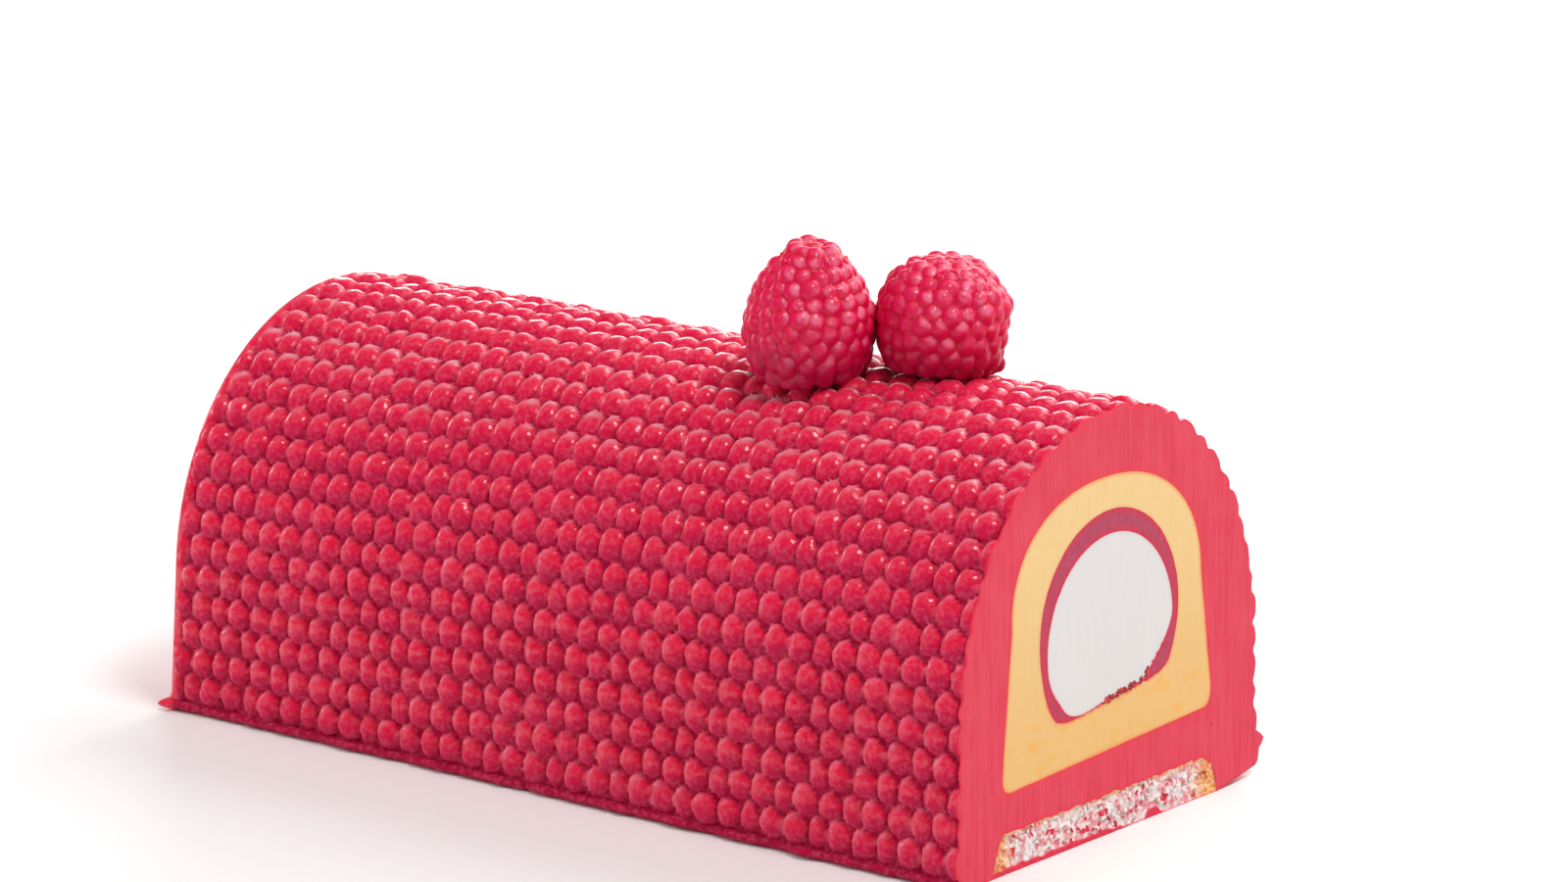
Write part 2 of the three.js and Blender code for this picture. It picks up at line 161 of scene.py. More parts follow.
lines = [("near lip", -y, z, -1.0, 0.0, 0, 0.0) for y, z in near_lip]
for row in range(knob_rows):
    for station in row_stations:
        across = station * row_pitch / 2
        place = on_section(near_lip_top + (row + 0.5) * row_pitch + across)
        lines.append(("knobs", *place, row, across))
lines.append(("knobs", *on_section(section_run - far_lip_top), knob_rows - 1, row_pitch / 2))
lines += [("far lip", y, z, 1.0, 0.0, 0, 0.0) for y, z in far_lip]
trough_layers = 6
trough_columns = 70
lines.append(("underside", 37.0, 0.9, 0.0, -1.0, 0, 0.0))
lines.append(("underside", trough["right"], 0.0, 0.0, -1.0, 0, 0.0))
for layer in range(1, trough_layers):
    up = layer / trough_layers
    lines.append(("trough", trough_edge(1, up), up * trough["height"], 0.0, -1.0, 0, 0.0))
for i in range(trough_columns + 1):
    y = lerp(trough["top_right"], trough["top_left"], i / trough_columns)
    lines.append(("trough", y, trough_top(y), 0.0, -1.0, 0, 0.0))
for layer in range(trough_layers - 1, 0, -1):
    up = layer / trough_layers
    lines.append(("trough", trough_edge(-1, up), up * trough["height"], 0.0, -1.0, 0, 0.0))
for y in (trough["left"], -38.0, -near_lip[0][0]):
    lines.append(("underside", y, 0.0, 0.0, -1.0, 0, 0.0))

# Columns are places along the log, from the middle of the closed end to the cut. A wall column is a share of
# the way in from the wall's edge, a rim column a distance over the rim and its lift over the groove floor,
# and a knobs column a number of half knobs from the start of the lattice.
lattice_start = -91.55 - 3 * knob_pitch
rim_lift = 0.6 * knob_rise
cut_edge = 0.1  # from the last column to the cut face
face_depth = 0.25  # only the cut face and its edge lie so near the cut
wall_lift = 0.07  # of the wall's edge over the groove floor
wall_low, wall_middle, wall_high = 4.0, 17.0, 30.0  # heights that the wall's lines are drawn in to
columns = [("wall", share) for share in (1.0, 0.9, 0.72, 0.6, 0.5, 0.42, 0.32, 0.2, 0.1)]
columns += [("rim", 0.0, wall_lift), ("rim", 0.25, 0.63), ("rim", 0.8, 0.87), ("rim", 1.4, 0.87)]
steps_before_end = int(2 * (end_x + rim_thick - lattice_start) / knob_pitch)
steps_at_cut = 2 * (cut_x - lattice_start) / knob_pitch
columns.append(("knobs", 0.0))  # where the rim ends
for step in range(steps_before_end, math.ceil(steps_at_cut)):
    for share in (0.0, 0.24, 0.5, 0.76):
        if step + share < steps_at_cut - 0.08:
            columns.append(("knobs", step + share))
columns.append(("knobs", steps_at_cut))


def corner_x(row, step):
    swing = -pitch_swing if row % 2 else pitch_swing
    return lattice_start + knob_pitch * step / 2 + swing * math.sin(math.pi * step / 3)


knobs = {}


def knob(row, step):
    """A knob, by its row and its middle's half step: (middle x, half width, rise, shift across, size)."""
    if (row, step) not in knobs:
        chance = random.Random(7000 * row + step)
        left, right = corner_x(row, step - 1), corner_x(row, step + 1)
        turn = -1 if row % 2 else 1
        rise = knob_rise + turn * rise_swing * math.cos(math.pi * step / 3 + 0.6)
        knobs[row, step] = (
            (left + right) / 2 + chance.uniform(-0.16, 0.16),
            (right - left) / 2,
            rise * (chance.uniform(0.8, 1.12) if chance.random() > sunken_share else 0.6),
            chance.uniform(-0.2, 0.2),
            chance.uniform(0.92, 1.06),
        )
    return knobs[row, step]


def knob_height(x, row, across, upward):
    """How high the skin stands over the groove floor, how far up its knob, and where along and across it."""
    step = 2 * (x - lattice_start) / knob_pitch
    best = (-pit_depth, -1.0, 0.0, 0.0)
    for near_row in (row - 1, row, row + 1):
        off_row = across - (near_row - row) * row_pitch
        if not 0 <= near_row < knob_rows or abs(off_row) > 1.1 * knob_half_height:
            continue
        nearest = 2 * round((step - (near_row + 1) % 2) / 2) + (near_row + 1) % 2
        for middle_step in (nearest - 2, nearest, nearest + 2):
            middle, half, rise, shift, size = knob(near_row, middle_step)
            share_along = (x - middle) / ((half - knob_gap) * size)
            share_across = (off_row - shift) / (knob_half_height * size)
            out = share_along**2 + share_across**2
            if out < 1:
                share = (1 - out**1.35) ** 0.6 * (1 + 0.2 * upward * share_across + 0.05 * share_along)
                best = max(best, (share * rise, share, share_along, share_across))
            else:
                pit = smooth(1.0, 1.3, out)
                best = max(best, (-pit_depth * pit, -pit, share_along, share_across))
    return best


def foot_ridge(z):
    """The profile of the foot across the closed end: 1 at its ridge, 0 at the table and over the foot."""
    return max(0.0, min(z / 1.3, (3.0 - z) / 1.3, 1.0))


def end_wall_x(y, z):
    ragged = 0.75 + 0.35 * uneven(0, y, z, 6.0, 2.0)
    return end_x + z * end_lean - end_reach * foot_ridge(z) * ragged


def skin_point(column, line):
    """A column's place on a line, how far up its knob it is, and on the knobs its painted sheen, painted
    shade and painted rim light.
    """
    kind, y, z, out_y, out_z, row, across = line
    if column[0] == "wall":
        # Drawn in from the rim to the middle of the wall, where low lines keep below high ones
        lift = wall_lift if kind == "knobs" else 0.0
        y, z = y + out_y * lift, z + out_z * lift
        inner_z = lerp(wall_low, wall_high, smooth(2.0, 20.0, z)) if kind == "knobs" else wall_low
        y, z = lerp(y, 0.0, column[1]), lerp(0.0 if kind == "trough" else z, inner_z, column[1])
        if column[1] == 1.0:
            z = wall_middle
        return end_wall_x(y, z), y, z, 1.0
    knobs_from = end_x + rim_thick + z * end_lean
    if column[0] == "rim":
        wall_z = 0.0 if kind == "trough" else z
        if kind == "knobs":
            y, z = y + out_y * column[2], z + out_z * column[2]
        reach = end_wall_x(y, wall_z)
        return lerp(reach, knobs_from, column[1] / rim_thick), y, z if kind == "knobs" else wall_z, 1.0
    swing = pitch_swing * (-1 if row % 2 else 1) * (1 - smooth(0.7, 1.0, abs(across) / (row_pitch / 2)))
    step = column[1]
    x = lattice_start + knob_pitch * step / 2 + swing * math.sin(math.pi * step / 3)
    x = cut_x - cut_edge if step == steps_at_cut else min(max(x, knobs_from), cut_x - face_depth)
    if kind == "knobs":
        warped_x = x + knob_warp * uneven(x, y, z, 2.2, 11.0)
        warped_across = across + knob_warp * uneven(x, y, z, 2.2, 17.0)
        height, share, aside, above = knob_height(warped_x, row, warped_across, -out_y)
        webbed = 1 - smooth(0.0, 1.0, x - knobs_from)
        dragged = 1 - smooth(0.0, 0.7, cut_x - cut_edge - x)
        height = max(height, webbed * rim_lift, dragged * (0.35 if y < 0 else 0.2) * knob_rise)
        share = max(share, 0.8 * webbed, dragged)
        height += 0.12 * uneven(x, y, z, 9.0) + 0.17 * uneven(x, y, z, 1.6, 3.0)
        # The flank of a knob that looks up and towards the closed end gets a pale painted sheen, and its
        # foot a painted shade
        upward = lerp(-out_y, 1.0, max(out_z, 0.0)) * above
        pale = smooth(-0.1, 0.6, lerp(-0.8, -0.45, out_z) * aside + lerp(0.35, 0.7, out_z) * upward)
        pale *= smooth(0.0, 0.15, share) * (1 - 0.85 * smooth(0.72, 0.95, share))
        # Painted shade on the foot of each knob, less of it on the crown
        shade_share = smooth(-0.2, 0.6, -upward + 0.25 * aside) * (1 - 0.65 * smooth(0.3, 0.9, out_z))
        # The lowest rows get more painted shade, near the table
        shade_share = max(shade_share, 0.8 * (1 - smooth(2.5, 7.0, z)))
        # A painted rim light: a pale line on the upper rims of the crown knobs, where light from behind
        # would catch them
        rim_lit = smooth(0.5, 0.92, out_z) * smooth(0.05, 0.7, above - 0.3 * aside) * smooth(0.0, 0.3, share)
        free = (1 - webbed) * (1 - dragged)
        return x, y + out_y * height, z + out_z * height, share, pale * free, shade_share * free, rim_lit * free
    if kind == "near lip":
        ragged = 0.5 + 0.5 * uneven(x, 0, 0, 7.0, 1.0) + 0.25 * uneven(x, 0, 0, 2.0, 6.0)
        return x, lerp(-42.0, y, min(1.0, max(0.1, ragged))) if z > 0 else y, z, 0.0
    if kind == "far lip":
        ragged = 0.85 + 0.3 * uneven(x, 0, 0, 8.0, 5.0)
        return x, lerp(base_half, y, min(1.0, ragged)) if z > 0 else y, z, 0.35
    if kind == "trough" and x < trough["end"]:
        z = 0.0
    return x, y, z, 0.2


# The yellow block's outline, which the hollow in the sorbet shares: up its left side, over its arch and
# down its right side, and then back along its flat bottom.
yellow = {
    "left": -30.6,
    "right": 28.8,
    "bottom": 14.0,
    "slope": 0.035,
    "corner": 2.2,
    "shoulder": 41.3,
    "shoulder_half": 26.9,
    "middle": -1.2,
    "skew": 0.8,
    "top": 62.8,
    "fullness": 2.2,
}


def yellow_bottom(y):
    return yellow["bottom"] + yellow["slope"] * (y - yellow["left"])


def bend(a, b, c, steps=8):
    """Points of a curve from a to c that is drawn towards b."""
    return [
        tuple(lerp(lerp(p, q, i / steps), lerp(q, r, i / steps), i / steps) for p, q, r in zip(a, b, c))
        for i in range(steps + 1)
    ]


def yellow_arch():
    left, right, corner = yellow["left"], yellow["right"], yellow["corner"]
    floor_left, floor_right = yellow_bottom(left), yellow_bottom(right)
    points = bend((left + corner, floor_left), (left, floor_left), (left, floor_left + 1.2 * corner))
    arch_steps = 120
    for i in range(arch_steps + 1):
        angle = math.pi * (1 - i / arch_steps)
        across = math.copysign(abs(math.cos(angle)) ** (2 / yellow["fullness"]), math.cos(angle))
        up = math.sin(angle) ** (2 / yellow["fullness"]) if 0 < i < arch_steps else 0.0
        y = yellow["middle"] - yellow["skew"] * math.sin(angle) + yellow["shoulder_half"] * across
        points.append((y, yellow["shoulder"] + (yellow["top"] - yellow["shoulder"]) * up))
    points += bend((right, floor_right + 1.6 * corner), (right, floor_right), (right - corner, floor_right))
    return points


def along(points, share):
    """The point at a share of the way along a line of points."""
    lengths = [math.dist(a, b) for a, b in zip(points, points[1:])]
    left = share * sum(lengths)
    for a, b, step in zip(points, points[1:], lengths):
        if left <= step:
            return tuple(lerp(p, q, left / step) for p, q in zip(a, b))
        left -= step
    return points[-1]


def knife_relief(y, z):
    """The faint upright drag lines of the knife on the cut face, over a slight unevenness."""
    lines_of_knife = 0.05 * uneven(0, y, z / 12, 1.1, 2.0) + 0.03 * uneven(0, y, z / 4, 0.5, 5.0)
    return lines_of_knife + 0.08 * uneven(0, y, z, 9.0)


yellow_over = yellow_arch()
upper_lines = [i for i, line in enumerate(lines) if line[0] in ("near lip", "knobs", "far lip")]
hollow_edge = []
for i, (kind, y, z, *_) in enumerate(lines):
    if i <= upper_lines[-1]:
        hollow_edge.append(along(yellow_over, i / upper_lines[-1]))
    else:
        inside = min(max(y, yellow_over[0][0]), yellow_over[-1][0])
        hollow_edge.append((inside, yellow_bottom(inside)))

log = bmesh.new()
line_of = log.verts.layers.int.new("line")
up_knob = log.verts.layers.float.new("up_knob")
painted_sheen = log.verts.layers.float.new("painted_sheen")
painted_shade = log.verts.layers.float.new("painted_shade")
painted_rim_light = log.verts.layers.float.new("painted_rim_light")
fringe = log.verts.layers.float.new("fringe")
smeared = log.verts.layers.float.new("smeared")
bmesh.ops.create_grid(log, x_segments=len(columns) - 1, y_segments=len(lines) - 1, size=1)
for v in log.verts:
    column = round((v.co.x + 1) / 2 * (len(columns) - 1))
    line = round((v.co.y + 1) / 2 * (len(lines) - 1))
    x, y, z, share, *tones = skin_point(columns[column], lines[line])
    v.co = (x, y, z)
    v[line_of] = line
    v[up_knob] = share
    v[painted_sheen], v[painted_shade], v[painted_rim_light] = tones or (0.0, 0.0, 0.0)
bmesh.ops.remove_doubles(log, verts=log.verts, dist=weld)
bmesh.ops.dissolve_degenerate(log, dist=weld, edges=log.edges)
rim = [e for e in log.edges if e.is_boundary]


def draw_in(bm, edges, move):
    """Carries a rim of edges on by one row of faces, moves the new points, and gives the new rim."""
    moved = {}
    for v in (v for e in edges for v in e.verts):
        if v not in moved:
            moved[v] = bm.verts.new(v.co, v)
            move(moved[v])
    drawn = []
    for e in edges:
        a, b = e.verts
        if not e.is_boundary or e.link_loops[0].vert == a:
            a, b = b, a  # the new face has to look the same way as a face that is there
        bm.faces.new((a, b, moved[b], moved[a]))
        drawn.append(bm.edges.get((moved[a], moved[b])))
    return drawn


rim_place = {v[line_of]: v.co.copy() for e in rim for v in e.verts}
ring_shares = [0.012, 0.03, 0.055, 0.11, 0.2, 0.31, 0.43, 0.56, 0.68, 0.79, 0.88, 0.945, 0.975, 1.0]
for share in ring_shares:

    def towards_hollow(v):
        start = rim_place[v[line_of]]
        inside = hollow_edge[v[line_of]]
        y, z = (lerp(p, q, share) for p, q in zip((start.y, start.z), inside))
        v.co = (cut_x + knife_relief(y, z), y, z)
        width = math.dist((start.y, start.z), inside)
        v[up_knob] = 1.0
        v[fringe] = 1 - smooth(0.0, 1.1, width * (1 - share))
        v[smeared] = 1 - smooth(0.05, 0.7, width * share)

    rim = draw_in(log, rim, towards_hollow)
bmesh.ops.remove_doubles(log, verts=log.verts, dist=weld)
bmesh.ops.dissolve_degenerate(log, dist=weld, edges=log.edges)
cut_faces = {f for f in log.faces if all(v.co.x > cut_x - face_depth for v in f.verts)}
rim = [e for e in log.edges if e.is_boundary]
hollow_end = end_x + 8


def to_hollow_end(v):
    v.co.x = hollow_end


rim = draw_in(log, rim, to_hollow_end)
bmesh.ops.contextual_create(log, geom=rim)
plain = [f for f in log.faces if all(lines[v[line_of]][0] in ("trough", "underside") for v in f.verts)]
plain = [f for f in plain if f not in cut_faces]
plain = [f for f in plain if all(v.co.x > end_x + rim_thick - 0.01 for v in f.verts)]
bmesh.ops.dissolve_limit(
    log,
    angle_limit=math.radians(0.2),
    verts=list(dict.fromkeys(v for f in plain for v in f.verts)),
    edges=list(dict.fromkeys(e for f in plain for e in f.edges)),
)

# The cut face has a material of its own
for f in log.faces:
    f.material_index = 1 if all(v.co.x > cut_x - face_depth for v in f.verts) else 0


def make_piece(bm, name, materials, slot, *nodes, sharp=50):
    """Turns a mesh in millimetres into a smooth piece in metres that rides on the cake."""
    bmesh.ops.recalc_face_normals(bm, faces=bm.faces)
    bmesh.ops.scale(bm, verts=bm.verts, vec=(mm, mm, mm))
    for f in bm.faces:
        f.smooth = True
    mesh = bpy.data.meshes.new(name)
    bm.to_mesh(mesh)
    bm.free()
    mesh.set_sharp_from_angle(angle=math.radians(sharp))
    for material in materials:
        mesh.materials.append(material)
    piece = bpy.data.objects.new(name, mesh)
    bpy.context.scene.collection.objects.link(piece)
    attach(piece, "root")
    if nodes:
        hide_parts(*nodes)


class Finish:
    """A material built up node by node round one Principled shader."""

    def __init__(self, name, **settings):
        self.material = bpy.data.materials.new(name)
        self.material.use_nodes = True
        self.tree = self.material.node_tree
        self.shader = self.tree.nodes["Principled BSDF"]
        self.place = self.tree.nodes.new("ShaderNodeTexCoord").outputs["Object"]
        for socket, value in settings.items():
            self.shader.inputs[socket.replace("_", " ")].default_value = value

    def node(self, kind, settings=None, **inputs):
        made = self.tree.nodes.new("ShaderNode" + kind)
        for key, value in (settings or {}).items():
            setattr(made, key, value)
        for socket, value in inputs.items():
            self.feed(value, made.inputs[socket.replace("_", " ")])
        return made

    def feed(self, value, socket):
        if isinstance(value, bpy.types.NodeSocket):
            self.tree.links.new(value, socket)
        elif isinstance(value, tuple) and len(value) == 3 and socket.type == "RGBA":
            socket.default_value = (*value, 1.0)
        else:
            socket.default_value = value

    def attribute(self, name):
        return self.node("Attribute", {"attribute_name": name}).outputs["Fac"]

    def stretched(self, x, y, z):
        """Object coordinates in millimetres, squeezed along each axis."""
        squeeze = (1000 * x, 1000 * y, 1000 * z)
        return self.node("Mapping", Vector=self.place, Scale=squeeze).outputs["Vector"]

    def lumps(self, size, detail=3.0, rough=0.5, vector=None):
        """Noise with lumps of a size in millimetres."""
        vector = vector or self.stretched(1, 1, 1)
        made = self.node("TexNoise", Vector=vector, Scale=1 / size, Detail=detail, Roughness=rough)
        return made.outputs["Fac"]

    def between(self, value, low, high, to_low=0.0, to_high=1.0):
        """A soft step from to_low, where the value is low, to to_high, where it is high."""
        inputs = {"Value": value, "From Min": low, "From Max": high, "To Min": to_low, "To Max": to_high}
        made = self.tree.nodes.new("ShaderNodeMapRange")
        made.interpolation_type = "SMOOTHSTEP"
        for socket, number in inputs.items():
            self.feed(number, made.inputs[socket])
        return made.outputs["Result"]

    def mix(self, share, a, b):
        made = self.tree.nodes.new("ShaderNodeMix")
        made.data_type = "RGBA"
        self.feed(share, made.inputs[0])
        self.feed(a, made.inputs[6])
        self.feed(b, made.inputs[7])
        return made.outputs[2]

    def times(self, a, b):
        made = self.node("Math", {"operation": "MULTIPLY"})
        self.feed(a, made.inputs[0])
        self.feed(b, made.inputs[1])
        return made.outputs[0]

    def bump(self, height, depth):
        """Relief of a depth in millimetres."""
        made = self.node("Bump", Height=height, Distance=depth * mm)
        self.feed(made.outputs["Normal"], self.shader.inputs["Normal"])

    def colour(self, value):
        self.feed(value, self.shader.inputs["Base Color"])


knob_red = (0.76, 0.002, 0.046)
# Darker colours for the painted shade in the grooves and the pits
groove_shade_plum = (0.41, 0.004, 0.047)
pit_shade_maroon = (0.15, 0.001, 0.024)
# A mauve for the painted shade on the knobs' feet
shade_mauve = (0.53, 0.014, 0.074)
# A pink for the random frost grain, and also for the painted sheen
frost_and_sheen_pink = (0.79, 0.150, 0.225)
# A pale pink for the painted rim light
rim_light_pink = (0.72, 0.350, 0.405)
moulded = Finish(
    "moulded_sorbet",
    Roughness=0.5,
    Specular_IOR_Level=0.07,
    Subsurface_Weight=0.1,
    Subsurface_Radius=(1.0, 0.22, 0.18),
    Subsurface_Scale=0.7 * mm,
    Coat_Roughness=0.18,
)
# Painted shade: the knobs' lower flanks and the lowest rows turn mauve
shaded_skin = moulded.mix(moulded.attribute("painted_shade"), knob_red, shade_mauve)
# Painted shade: the grooves and the pits between the knobs are darker
groove_shade_tone = moulded.mix(moulded.between(moulded.attribute("up_knob"), -0.7, 0.0), pit_shade_maroon, groove_shade_plum)
skin = moulded.mix(moulded.between(moulded.attribute("up_knob"), 0.0, 0.45), groove_shade_tone, shaded_skin)
grain = moulded.lumps(0.9, detail=4.0)
grainy = moulded.mix(moulded.between(grain, 0.42, 0.7, 0.0, 0.3), skin, frost_and_sheen_pink)
patchy = moulded.between(moulded.lumps(1.9), 0.35, 0.62, 0.35, 1.0)
# The painted sheen: pale pink on the knobs' flanks that face the light
sheened = moulded.mix(moulded.times(moulded.attribute("painted_sheen"), patchy), grainy, frost_and_sheen_pink)
# The painted rim light is mixed in last
moulded.colour(moulded.mix(moulded.times(moulded.attribute("painted_rim_light"), patchy), sheened, rim_light_pink))
wet = moulded.between(moulded.lumps(1.7), 0.3, 0.5, 0.15, 1.0)
wet_tops = moulded.times(wet, moulded.between(moulded.attribute("up_knob"), 0.3, 0.75))
light_side = moulded.between(moulded.attribute("painted_shade"), 0.0, 0.5, 1.0, 0.0)
moulded.feed(moulded.times(wet_tops, light_side), moulded.shader.inputs["Coat Weight"])
moulded.bump(moulded.lumps(0.7, detail=4.0), 0.2)

cut_pink = (0.76, 0.060, 0.100)
cut_deep = (0.70, 0.040, 0.080)
cut_cloud = (0.78, 0.090, 0.135)
speck_red = (0.48, 0.018, 0.060)
bled_red = (0.84, 0.045, 0.050)
smear_red = (0.84, 0.012, 0.045)
cut = Finish(
    "cut_sorbet",
    Roughness=0.6,
    Specular_IOR_Level=0.2,
    Subsurface_Weight=0.15,
    Subsurface_Radius=(1.0, 0.25, 0.2),
    Subsurface_Scale=0.6 * mm,
)
drag = cut.lumps(0.8, detail=4.0, vector=cut.stretched(1, 1.2, 0.07))
streaked = cut.mix(cut.between(drag, 0.35, 0.7), cut_pink, cut_deep)
clouds = cut.times(cut.between(cut.lumps(7.0), 0.4, 0.7), 0.3)
clouded = cut.mix(clouds, streaked, cut_cloud)
specks = cut.times(cut.between(cut.lumps(1.5, detail=1.0), 0.7, 0.78), 0.6)
specked = cut.mix(specks, clouded, speck_red)
bled = cut.mix(cut.times(cut.attribute("fringe"), 0.55), specked, bled_red)
cut.colour(cut.mix(cut.times(cut.attribute("smeared"), 0.6), bled, smear_red))
cut.bump(drag, 0.1)

make_piece(log, "sorbet_shell", [moulded.material, cut.material], "sorbet", "sorbet_log")


# ---------------------------------------------------------------------------------------------------------
# The yellow block: smooth yellow ice cream, frozen in a smaller arched mould and sunk into the sorbet. It
# shows at the cut as a broad arch round the insert. Its edge has taken a little orange from the sorbet.

insert_middle = (-0.5, 36.0)
jam_circle = (-0.7, 37.1, 19.8)
jam_cut = (-13.0, 22.2, 0.11)
core_circle = (-0.4, 34.9, 17.8)
core_cut = (-11.0, 22.6, 0.1)
core_chamfer = (8.0, 24.3, 0.9)
turn_steps = 480


def circle_reach(circle, angle):
    """From the insert's middle to a circle."""
    y, z = insert_middle[0] - circle[0], insert_middle[1] - circle[1]
    inward = y * math.cos(angle) + z * math.sin(angle)
    return -inward + math.sqrt(inward**2 - (y * y + z * z - circle[2] ** 2))


def cut_reach(cut_line, angle):
    """From the insert's middle to a sloping flat below it, or far out where it looks away from it."""
    y, z, slope = cut_line
    above = insert_middle[1] - (z + slope * (insert_middle[0] - y))
    closing = slope * math.cos(angle) - math.sin(angle)
    return above / closing if closing > 0.05 else 99.0


def soft_min(a, b, blend):
    """The smaller of two lengths, with the corner between them rounded."""
    near = max(blend - abs(a - b), 0.0) / blend
    return min(a, b) - near * near * blend / 4


def facing(angle, degrees, spread):
    """1 in a direction, falling softly to 0 at a spread of degrees to each side of it."""
    off = abs((math.degrees(angle) - degrees + 180) % 360 - 180)
    return 1 - smooth(0.0, spread, off)


def jam_reach(angle):
    bulged = circle_reach(jam_circle, angle) + 0.9 * facing(angle, 218, 30)
    flat = cut_reach(jam_cut, angle)
    under = smooth(0.0, 2.0, bulged - flat)
    rough = 0.3 * uneven(0, 30 * angle, 0, 1.6, 3.0) + 0.15 * uneven(0, 30 * angle, 0, 0.5, 8.0)
    return soft_min(bulged, flat, 3.5) + under * rough


def core_reach(angle):
    drawn_in = circle_reach(core_circle, angle) - 1.1 * facing(angle, 222, 26)
    flat = soft_min(cut_reach(core_cut, angle), cut_reach(core_chamfer, angle), 1.5)
    torn = smooth(0.0, 1.5, drawn_in - flat) * smooth(240, 262, math.degrees(angle) % 360)
    rough = 0.8 * uneven(0, 40 * angle, 0, 2.2, 1.0) + 0.45 * uneven(0, 40 * angle, 0, 0.7, 6.0)
    film = 0.15 + 0.3 * torn + 0.25 * facing(angle, 315, 30)
    return min(soft_min(drawn_in, flat, 4.0) - torn * max(0.0, rough), jam_reach(angle) - film)


def around(angle, radius):
    return insert_middle[0] + radius * math.cos(angle), insert_middle[1] + radius * math.sin(angle)


def yellow_reach():
    """From the insert's middle to the yellow block's outline, for each step of a turn."""
    outline = yellow_over + [yellow_over[0]]
    found = []
    for i in range(turn_steps):
        angle = 2 * math.pi * i / turn_steps
        along_y, along_z = math.cos(angle), math.sin(angle)
        best = 0.0
        for (y_a, z_a), (y_b, z_b) in zip(outline, outline[1:]):
            side_a = along_y * (z_a - insert_middle[1]) - along_z * (y_a - insert_middle[0])
            side_b = along_y * (z_b - insert_middle[1]) - along_z * (y_b - insert_middle[0])
            if side_a * side_b <= 0 and side_a != side_b:
                share = side_a / (side_a - side_b)
                y, z = lerp(y_a, y_b, share), lerp(z_a, z_b, share)
                best = max(best, (y - insert_middle[0]) * along_y + (z - insert_middle[1]) * along_z)
        found.append(best)
    return found


def layer_solid(outer, inner, rings, edge_width, relief=1.0):
    """A layer that runs through the log: its cut face in rings, its walls, and its closed far end."""
    bm = bmesh.new()
    outer_edge = bm.verts.layers.float.new("outer_edge")
    inner_edge = bm.verts.layers.float.new("inner_edge")
    place = bm.verts.layers.int.new("place")
    bmesh.ops.create_circle(bm, segments=turn_steps, radius=1)
    for v in bm.verts:
        v[place] = round(math.atan2(v.co.y, v.co.x) / (2 * math.pi) * turn_steps) % turn_steps

    def face_point(v, share):
        angle = 2 * math.pi * v[place] / turn_steps
        thick = outer[v[place]] - inner[v[place]]
        y, z = around(angle, lerp(outer[v[place]], inner[v[place]], share))
        v.co = (cut_x + relief * knife_relief(y, z), y, z)
        v[outer_edge] = 1 - smooth(0.0, edge_width, thick * share)
        v[inner_edge] = 1 - smooth(0.0, edge_width, thick * (1 - share)) if inner[v[place]] else 0.0

    for v in bm.verts:
        face_point(v, 0.0)
    outside = list(bm.edges)
    rim = outside
    for i in range(1, rings + 1):
        share = 0.5 - 0.5 * math.cos(math.pi * i / rings)
        rim = draw_in(bm, rim, lambda v: face_point(v, share))
    walls = draw_in(bm, outside, to_hollow_end)
    if inner[0] > 0:
        inside = draw_in(bm, rim, to_hollow_end)
        bmesh.ops.bridge_loops(bm, edges=walls + inside)
    else:
        bmesh.ops.contextual_create(bm, geom=walls)
    bmesh.ops.remove_doubles(bm, verts=bm.verts, dist=weld)
    return bm


turns = [2 * math.pi * i / turn_steps for i in range(turn_steps)]
jam_edge = [jam_reach(angle) for angle in turns]
core_edge = [core_reach(angle) for angle in turns]

yellow_top = (0.85, 0.590, 0.275)
yellow_low = (0.82, 0.505, 0.190)
wisp_orange = (0.86, 0.42, 0.06)
jam_orange = (0.86, 0.17, 0.05)
sorbet_orange = (0.88, 0.27, 0.08)
cream_yellow = Finish(
    "yellow_ice_cream",
    Roughness=0.6,
    Specular_IOR_Level=0.2,
    Subsurface_Weight=0.15,
    Subsurface_Radius=(1.0, 0.6, 0.25),
    Subsurface_Scale=0.6 * mm,
)
height_z = cream_yellow.node("SeparateXYZ", Vector=cream_yellow.place).outputs["Z"]
graded = cream_yellow.mix(cream_yellow.between(height_z, 0.014, 0.062), yellow_low, yellow_top)
low_down = cream_yellow.between(height_z, 0.018, 0.036, 0.6, 0.12)
wisps = cream_yellow.between(cream_yellow.lumps(2.4, vector=cream_yellow.stretched(1, 0.6, 1)), 0.5, 0.72)
mottled = cream_yellow.mix(cream_yellow.times(low_down, wisps), graded, wisp_orange)
bleeding = cream_yellow.times(low_down, cream_yellow.between(cream_yellow.lumps(0.9), 0.35, 0.6, 0.5, 1.6))
stained_edge = cream_yellow.times(cream_yellow.attribute("inner_edge"), bleeding)
warm = cream_yellow.mix(stained_edge, mottled, jam_orange)
sorbet_edge = cream_yellow.times(cream_yellow.attribute("outer_edge"), 0.7)
cream_yellow.colour(cream_yellow.mix(sorbet_edge, warm, sorbet_orange))
cream_yellow.bump(cream_yellow.lumps(0.8, vector=cream_yellow.stretched(1, 1, 0.25)), 0.08)
make_piece(
    layer_solid(yellow_reach(), jam_edge, 18, 0.8),
    "yellow_block",
    [cream_yellow.material],
    "yellow_ice_cream",
    "yellow_layer",
)


# ---------------------------------------------------------------------------------------------------------
# The jam ring: dark berry jam that was spread round the cream core before it froze. It is thick over the
# top, thin at the sides, and only a rough smear under the core, where the insert was cut flat.

